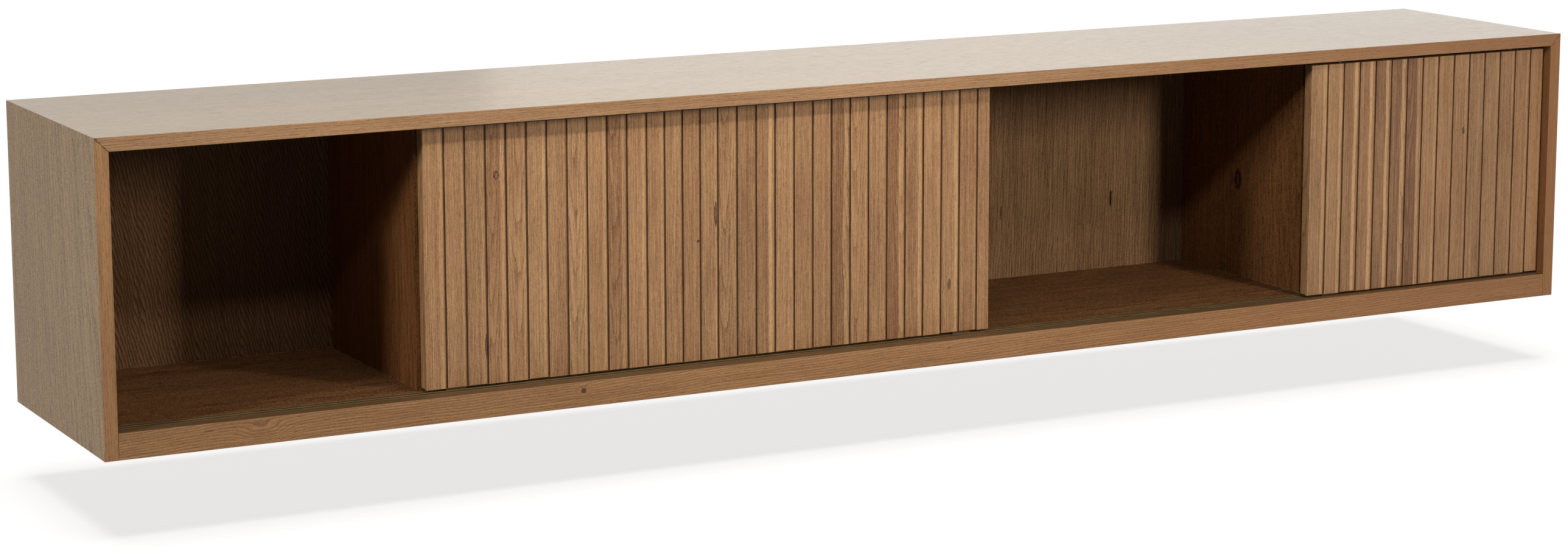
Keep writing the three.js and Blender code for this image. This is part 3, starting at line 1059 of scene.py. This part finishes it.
@dataclass
class WallCleats(Joinery):
    """The bevelled cleat under the case's top and the one on the wall that it hooks over."""

    tight: float = 0.5 * MM

    def build(self) -> None:
        """Build the case's cleat with eased edges and dress the wall's drilled one."""
        material = plain_board_finish().material()
        box, wall = Box.of("case_cleat"), Box.of("wall_cleat")
        corners = [[box.low.y, wall.high.z], [box.high.y, box.low.z],
                   [box.high.y, box.high.z], [box.low.y, box.high.z]]
        self.board("case_cleat_board", "case_cleat", Axis.X, self.tight, material, Slot.PLAIN,
                   corners)
        dress("wall_cleat", material)


@dataclass
class Runners:
    """The twin track over the doors, the slotted strip under them and the felt buffers."""

    buffer_dome: float = 0.5 * MM

    def build_buffer(self, node: str, material: Material) -> None:
        """Build a felt disc with a softly rounded rim.

        Args:
            node: the CAD buffer that it stands for.
            material: its finish.
        """
        box = Box.of(node)
        rim = rounded_rim(box.size.y / 2, box.size.x / 2, self.buffer_dome, 9)
        disc = turned(rim, box.middle, Axis.X)
        add_piece(f"felt_{node}", disc, material, "case", Slot.FELT, node)

    def build(self) -> None:
        """Dress the track and the strip, and build the four buffers."""
        bronze = DrawnMetal("bronze_anodised_aluminium", rgb(92, 80, 70), rgb(62, 53, 46), 0.38)
        top = Box.of("guide_strip").high.z
        # Painted shade: the strip's slots are painted dark inside.
        slots = Tint(2, top - 0.05 * MM, top - 0.3 * MM, rgb(22, 17, 10), 0.9)
        olive = Moulded("olive_brown_plastic", rgb(120, 98, 66), rgb(98, 78, 50), 0.7,
                        ior=1.25, tints=(slots,))
        felt = Moulded("brown_felt", rgb(92, 74, 56), rgb(62, 48, 36), 0.95,
                       texture_scale=1800.0, texture_height=0.2 * MM, texture_strength=0.7)
        dress("top_track", bronze.material())
        dress("guide_strip", olive.material())
        material = felt.material()
        for side in ("left", "right"):
            for lane in ("front", "rear"):
                self.build_buffer(f"buffer_{side}_{lane}", material)


@dataclass(frozen=True)
class SlatCut:
    """How a slat looks.

    Its tone, where its heartwood ends across it, how dark that is, how pale the sapwood line
    beside it is, and how far the slat's middle lies from the pith.
    """

    tone: float = 0.0
    split: float = 0.80
    heart: float = 0.06
    sap: float = 0.05
    pith: float = 0.09


class Cut(Enum):
    """The kinds of slat in the doors."""

    PLAIN = SlatCut()
    PALE = SlatCut(tone=0.10, heart=0.10, sap=0.12)
    RED = SlatCut(tone=-0.10, split=0.95, heart=0.0, sap=0.0, pith=0.16)
    ARCHED = SlatCut(tone=0.02, split=0.84, pith=0.004)
    DIM = SlatCut(tone=-0.06, split=0.74, heart=0.12, sap=0.22, pith=0.012)
    LINED = SlatCut(tone=-0.02, split=0.74, heart=0.04, sap=0.26)
    SAP_EDGE = SlatCut(tone=-0.02, split=0.66, heart=0.14, sap=0.50)
    HEARTWOOD = SlatCut(split=0.66, heart=0.37, sap=0.16, pith=0.010)


@dataclass
class SlattedDoor:
    """A sliding door: a facing of upright slats on a backing, hung from two carriages.

    The cuts list the numbers of the slats of each kind, from 1 at the left; the rest are plain.
    """

    name: str
    pitch: float
    cuts: dict[Cut, tuple[int, ...]]
    knots: tuple[Knot, ...]
    light: Colour
    dark: Colour
    groove_width: float = 3.2 * MM
    groove_depth: float = 2.5 * MM
    narrow_pitch: float = 27.8 * MM
    first_narrow: int = 11
    narrow_slats: int = 0
    arris: float = 0.55 * MM
    groove_arris: float = 0.2 * MM
    uneven_end: float = 1.3 * MM
    heart_depth: float = 16 * MM
    tone_spread: float = 0.06
    blush: float = 0.18
    groove_shade: float = 0.6
    bolt_bevel: float = 0.3 * MM
    axle_bevel: float = 0.25 * MM
    wheel_dish: float = 0.35 * MM
    tyre_rounding: float = 0.5 * MM
    hub_ratio: float = 1.5
    dish_ratio: float = 1.7
    dish_margin: float = 1.1 * MM
    lip_margin: float = 0.9 * MM

    def grooves(self, width: float) -> Points:
        """Space the grooves: the pitches add up from the left, some narrower ones among them.

        Args:
            width: the door's width.

        Returns:
            The grooves' distances from the door's left edge; the last slat takes what is left over.
        """
        steps = np.full(int(width / self.narrow_pitch), self.pitch)
        steps[self.first_narrow:self.first_narrow + self.narrow_slats] = self.narrow_pitch
        places = np.cumsum(steps)
        return places[places < width - self.groove_width]

    def facing_outline(self, box: Box, places: Points) -> Points:
        """Work out the facing's section: along the slats' faces and down into each groove.

        Args:
            box: the facing's box.
            places: the grooves' places along x.

        Returns:
            The outline from above, with eased corners.
        """
        half, arris, sharp = self.groove_width / 2, self.arris, self.groove_arris
        face, bottom, back = box.low.y, box.low.y + self.groove_depth, box.high.y
        cuts = np.array([[-half, face], [-half, bottom], [half, bottom], [half, face]])
        walls = cuts[None] + np.stack([places, np.zeros(len(places))], axis=1)[:, None]
        corners = np.concatenate([[[box.low.x, face]], walls.reshape(-1, 2),
                                  [[box.high.x, face], [box.high.x, back], [box.low.x, back]]])
        radii = np.concatenate([[arris * 2], np.tile([arris, sharp, sharp, arris], len(places)),
                                [arris * 2, sharp, sharp]])
        return eased_outline(corners, radii)

    def build_facing(self, material: Material, random: np.random.Generator) -> None:
        """Build the slats as one grooved board, each face carrying its slat's looks for the finish.

        The slats' lower ends are shorter by random shares of the unevenness.

        Args:
            material: its finish.
            random: the source of the draws.
        """
        box = Box.of(f"{self.name}_slats")
        places = box.low.x + self.grooves(box.size.x)
        outline = self.facing_outline(box, places)
        edges = np.concatenate([[box.low.x], places, [box.high.x]])
        count = len(edges) - 1
        drops = random.uniform(0, self.uneven_end, count)

        def slat_of(x: Points) -> Points:
            """Number the slat that each x belongs to."""
            return np.clip(np.searchsorted(edges, x) - 1, 0, count - 1)

        facing = carried(outline, Axis.Z, lambda section: box.low.z + drops[slat_of(section[:, 0])],
                         box.high.z, (self.arris, self.arris))
        x, y = ((outline + np.roll(outline, -1, axis=0)) / 2).T
        between_rings = len(facing.points) // len(outline) - 1
        half = self.groove_width / 2
        in_groove = ((y > box.low.y + self.arris) & (y < box.high.y - self.arris)
                     & (x > box.low.x + half) & (x < box.high.x - half))
        kinds = {number: cut for cut, numbers in self.cuts.items() for number in numbers}
        looks = [kinds.get(i + 1, Cut.PLAIN).value for i in range(count)]
        values = {key: np.array([getattr(look, key) for look in looks])
                  for key in ("tone", "split", "heart", "sap", "pith")}
        values["tone"] = values["tone"] + random.normal(0, self.tone_spread, count)
        values["pith"] = values["pith"] * (random.uniform(0.4, 1.6, count)
                                           * random.choice([-1, 1], count))
        values["seed"] = random.uniform(0, 40, count)
        values["blush"] = random.uniform(0.0, self.blush, count)
        values["centre"] = (edges[:-1] + edges[1:]) / 2
        slat = np.append(np.tile(slat_of(x), between_rings), [0, 0])
        facing.face_values = {f"slat_{key}": value[slat] for key, value in values.items()}
        # The groove faces carry how much painted shade they get.
        facing.face_values["slat_groove_painted_shade"] = np.append(
            np.tile(in_groove * self.groove_shade, between_rings), [0, 0])
        add_piece(f"{self.name}_slat_facing", facing, material, self.name, Slot.SLAT,
                  f"{self.name}_slats")

    def build_bolt(self, side: str, material: Material) -> None:
        """Build a hanger bolt: a bevelled stem with a collar where the CAD bolt is widest.

        Args:
            side: "left" or "right".
            material: its finish.
        """
        node = f"{self.name}_bolt_{side}"
        box, bevel = Box.of(node), self.bolt_bevel
        points = np.array([v.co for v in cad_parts[node].data.vertices]) - np.array(box.middle)
        radius = np.hypot(points[:, 0], points[:, 1])
        widest = radius.max()
        collar = points[radius > widest * 0.9, 2]
        stem, half = widest / 2, box.size.z / 2
        foot, head = np.split(bevelled(stem, -half, half, bevel), 2)
        profile = np.concatenate([
            foot, [[stem, collar.min()]], bevelled(widest, collar.min(), collar.max(), bevel),
            [[stem, collar.max()]], head])
        add_piece(f"{self.name}_hanger_bolt_{side}", turned(profile, box.middle, Axis.Z),
                  material, self.name, Slot.STEEL, node)

    def build_wheels(self, side: str, nylon: Material, steel: Material) -> None:
        """Build a carriage's axle and its two wheels, each with a dished face and a rounded rim.

        Args:
            side: "left" or "right".
            nylon, steel: the finishes of the wheels and of the axle.
        """
        body, axle_node = f"{self.name}_wheels_{side}", f"{self.name}_axle_{side}"
        axle = Box.of(axle_node)
        radius, half = axle.size.x / 2, axle.size.y / 2
        rod = turned(bevelled(radius, -half, half, self.axle_bevel), axle.middle, Axis.Y, sides=32)
        add_piece(f"{axle_node}_pin", rod, steel, body, Slot.STEEL, axle_node)
        for place in ("front", "rear"):
            node = f"{self.name}_wheel_{side}_{place}"
            box = Box.of(node)
            rim, width = box.size.z / 2, box.size.y / 2
            floor = self.wheel_dish - width
            hub = np.array([
                [radius, -width], [radius * self.hub_ratio, -width],
                [radius * self.dish_ratio, floor], [rim - self.dish_margin, floor],
                [rim - self.lip_margin, -width]])
            tyre = rounded_rim(rim, width, self.tyre_rounding, 8)
            profile = np.concatenate([hub, tyre, (hub * [1, -1])[::-1]])
            wheel = turned(profile, box.middle, Axis.Y, bored=True)
            add_piece(f"{self.name}_roller_{side}_{place}", wheel, nylon, body, Slot.NYLON, node)

    def build(self, random: np.random.Generator) -> None:
        """Build the door's facing and hanging parts, and dress the CAD nodes that stay.

        Args:
            random: the source of the slats' draws.
        """
        name = self.name
        slats = Oak(
            f"oiled_oak_{name}_slats", Run.FACING_FRONT, self.light, self.dark, rgb(84, 54, 34),
            pith_across=0.0, pith_depth=self.heart_depth - Box.of(f"{name}_slats").low.y,
            ring_pitch=2.3 * MM, rings=0.30, taper=0.026, wander=9 * MM, unevenness=1.3,
            fibre=0.95, speck=0.35, slatted=True, knots=self.knots)
        self.build_facing(slats.material(), random)
        foot = Box.of(f"{name}_backing").low.z
        shadow = Tint(2, foot + 2.5 * MM, foot + 1.5 * MM, rgb(26, 17, 10), 0.9)
        backing = Oak(f"oiled_oak_{name}_backing", Run.FACING_FRONT,
                      rgb(192, 148, 102), rgb(112, 78, 48), rgb(84, 58, 40), tints=(shadow,))
        dress(f"{name}_backing", backing.material())
        plastic = Moulded(f"{name}_hanger_plastic", rgb(84, 71, 50), rgb(70, 58, 40),
                          0.5).material()
        nylon = Moulded(f"{name}_white_nylon", rgb(224, 221, 212), rgb(206, 202, 192),
                        0.4).material()
        steel = DrawnMetal(f"{name}_blackened_steel", rgb(96, 94, 92), rgb(72, 70, 68),
                           0.42).material()
        for side in ("left", "right"):
            dress(f"{name}_carriage_{side}", plastic)
            dress(f"{name}_guide_{side}", plastic)
            self.build_bolt(side, steel)
            self.build_wheels(side, nylon, steel)


@dataclass(frozen=True)
class Lamp:
    """A soft studio light: a panel at a place that points at a target.

    A mirrored lamp also shows in the gloss of what it lights.
    """

    name: str
    place: tuple[float, float, float]
    target: tuple[float, float, float]
    width: float
    height: float
    watts: float
    tint: tuple[float, float, float] = (1.0, 1.0, 1.0)
    mirrored: bool = True

    def build(self, spared: Collection) -> None:
        """Add the lamp, turned so that its width stays level.

        Args:
            spared: what the lamp doesn't light.
        """
        data = bpy.data.lights.new(self.name, "AREA")
        data.shape, data.size, data.size_y = "RECTANGLE", self.width, self.height
        data.energy, data.color = self.watts, self.tint
        lamp = linked(self.name, data)
        lamp.location = self.place
        aim = Vector(self.target) - Vector(self.place)
        lamp.rotation_euler = aim.to_track_quat("-Z", "Y").to_euler()
        lamp.light_linking.receiver_collection = spared
        lamp.visible_camera, lamp.visible_glossy = False, self.mirrored
        LOG.info("%s: %.0f W", self.name, self.watts)


@dataclass
class Studio:
    """The white floor, the lights, the surroundings and the camera."""

    floor_drop: float = 0.105
    floor_reach: float = 30.0
    floor_thickness: float = 0.02
    floor_corner: float = 0.5
    floor_edge: float = 0.002
    floor_glow: float = 0.745
    floor_tone: float = 0.76
    floor_roughness: float = 0.9
    floor_bounce: float = 0.22
    floor_fill: float = 0.08
    fill: float = 0.005
    overhead: float = 1.05
    overhead_spread: float = 28.0
    camera_place: tuple[float, float, float] = (-2.5163, -4.5952, 1.0948)
    camera_turn: float = 28.73
    camera_dip: float = 9.69
    camera_roll: float = 0.07
    focal_pixels: float = 5828.5
    aim_pixel: tuple[float, float] = (1384.25, 350.35)
    sensor_width: float = 36.0
    lamps: tuple[Lamp, ...] = (
        Lamp("front_strip_softbox", (-0.50, -0.90, 0.95), (-0.50, 0.0, 0.2), 1.7, 0.06, 6.0,
             (1.0, 0.97, 0.93), mirrored=False),
        Lamp("left_softbox", (-4.55, -1.35, 1.68), (-0.8, 0.0, 0.2), 0.6, 0.22, 88.0,
             mirrored=False),
        Lamp("front_right_softbox", (1.04, -2.71, 1.11), (0.4, 0.0, 0.2), 0.26, 0.60, 50.0,
             (1.0, 0.94, 0.88), mirrored=False),
        Lamp("rear_softbox", (2.00, 2.30, 0.80), (0.4, 0.0, 0.42), 3.0, 0.6, 4.7,
             (1.0, 0.93, 0.84)),
        Lamp("rear_fill_softbox", (2.40, 2.60, 0.55), (0.0, 0.2, 0.2), 1.5, 0.8, 62.0,
             mirrored=False),
    )

    def build_floor(self) -> Object:
        """Build the floor, a wide plate that the camera sees white apart from the case's shadow.

        Returns:
            The floor.
        """
        reach, top = self.floor_reach, -self.floor_drop
        box = Box(Vector((-reach, -reach, top - self.floor_thickness)), Vector((reach, reach, top)))
        plate = carried(eased_outline(box.across(Axis.Z), self.floor_corner), Axis.Z,
                        *box.along(Axis.Z), (self.floor_edge, self.floor_edge))
        floor = linked("studio_floor", plate.mesh("studio_floor"))
        sheet = MaterialSheet("studio_floor_white")
        sheet.base = grey(self.floor_tone)
        sheet.finish(self.floor_roughness)
        glow, fill = (sheet.fed("ShaderNodeEmission", grey(1.0), strength)
                      for strength in (self.floor_glow, self.floor_fill))
        lit = sheet.fed("ShaderNodeAddShader", Wire(sheet, sheet.shader.outputs[0]), glow)
        plain = sheet.fed("ShaderNodeBsdfDiffuse", grey(self.floor_bounce))
        bounced = sheet.fed("ShaderNodeAddShader", plain, fill)
        sheet.show(sheet.fed("ShaderNodeMixShader", sheet.seen(), bounced, lit))
        floor.data.materials.append(sheet.material)
        return floor

    def build_world(self) -> None:
        """Surround the scene with white for the eye and gloss, and a weaker even fill for light."""
        world = bpy.data.worlds.new("studio_surroundings")
        bpy.context.scene.world = world
        world.use_nodes = True
        sheet = NodeSheet(world.node_tree, "ShaderNodeOutputWorld")
        strength = sheet.fed("ShaderNodeMapRange", sheet.seen(), 0.0, 1.0, self.fill, 1.0)
        sheet.show(sheet.fed("ShaderNodeBackground", grey(1.0), strength))

    def build_overhead(self) -> None:
        """Add the wide overhead light, whose soft shadow lies straight under the case."""
        data = bpy.data.lights.new("overhead_light", "SUN")
        data.energy, data.angle = self.overhead, math.radians(self.overhead_spread)
        linked("overhead_light", data).location = (0.0, 0.0, 3.0)

    def build_camera(self) -> None:
        """Stand the camera where the photograph was taken from.

        The shifts are the distances of the view's own middle from the frame's, in frame widths.
        """
        data = bpy.data.cameras.new("photo_camera")
        data.sensor_width = self.sensor_width
        data.lens = self.focal_pixels * self.sensor_width / PHOTO_WIDTH
        data.shift_x = (PHOTO_WIDTH / 2 - self.aim_pixel[0]) / PHOTO_WIDTH
        data.shift_y = (self.aim_pixel[1] - PHOTO_HEIGHT / 2) / PHOTO_WIDTH
        camera = linked("photo_camera", data)
        turn, dip, roll = (Matrix.Rotation(math.radians(angle), 4, axis) for angle, axis in (
            (-self.camera_turn, "Z"), (90 - self.camera_dip, "X"), (self.camera_roll, "Z")))
        camera.matrix_world = Matrix.Translation(self.camera_place) @ turn @ dip @ roll
        bpy.context.scene.camera = camera

    def build(self) -> None:
        """Set up the camera, the floor, the surroundings and the lights."""
        bpy.context.scene.view_settings.view_transform = "Standard"
        self.build_camera()
        floor = self.build_floor()
        self.build_world()
        self.build_overhead()
        spared = bpy.data.collections.new("floor_spared_by_softboxes")
        spared.objects.link(floor)
        spared.collection_objects[0].light_linking.link_state = "EXCLUDE"
        for lamp in self.lamps:
            lamp.build(spared)


def wide_door() -> SlattedDoor:
    """Describe the wide door in the rear lane."""
    cuts = {
        Cut.LINED: (1, 12, 26, 28), Cut.DIM: (4, 10), Cut.ARCHED: (5, 8, 16, 23),
        Cut.PALE: (6, 9, 11, 15, 19, 27), Cut.RED: (7, 13, 21, 30), Cut.SAP_EDGE: (18,),
        Cut.HEARTWOOD: (22, 25),
    }
    knots = (
        Knot(329, -629.5, 4.0, 1.7, hollow=0.8), Knot(93, -647, 2.8, 6.0, hollow=0.3),
        Knot(248, -293.8, 2.6, 7.0, hollow=0.3), Knot(211.5, -322, 2.2, 1.0),
        Knot(112, 90.4, 3.2, 2.6, strength=0.7),
    )
    # The wide door's slat colours are a little lighter than the narrow door's, partly painted light
    # that makes up for the lamps lighting it less.
    return SlattedDoor("wide_door", 30.5 * MM, cuts, knots, rgb(205, 163, 117),
                       rgb(110, 75, 48), narrow_slats=4)


def narrow_door() -> SlattedDoor:
    """Describe the narrow door in the front lane."""
    cuts = {
        Cut.LINED: (1, 2), Cut.SAP_EDGE: (3, 4, 5), Cut.HEARTWOOD: (6, 7), Cut.PALE: (8,),
        Cut.RED: (11, 15),
    }
    knots = (Knot(279, 1022, 2.6, 2.2, hollow=0.2),)
    return SlattedDoor("narrow_door", 30.6 * MM, cuts, knots, rgb(200, 159, 115),
                       rgb(104, 72, 48))


def main() -> None:
    """Build the studio and then the console, sub-assembly by sub-assembly."""
    logging.basicConfig(level=logging.INFO, format="%(message)s")
    random = np.random.default_rng(RANDOM_SEED)
    Studio().build()
    Case().build()
    WallCleats().build()
    Runners().build()
    for door in (wide_door(), narrow_door()):
        door.build(random)


if __name__ == "__main__":
    main()
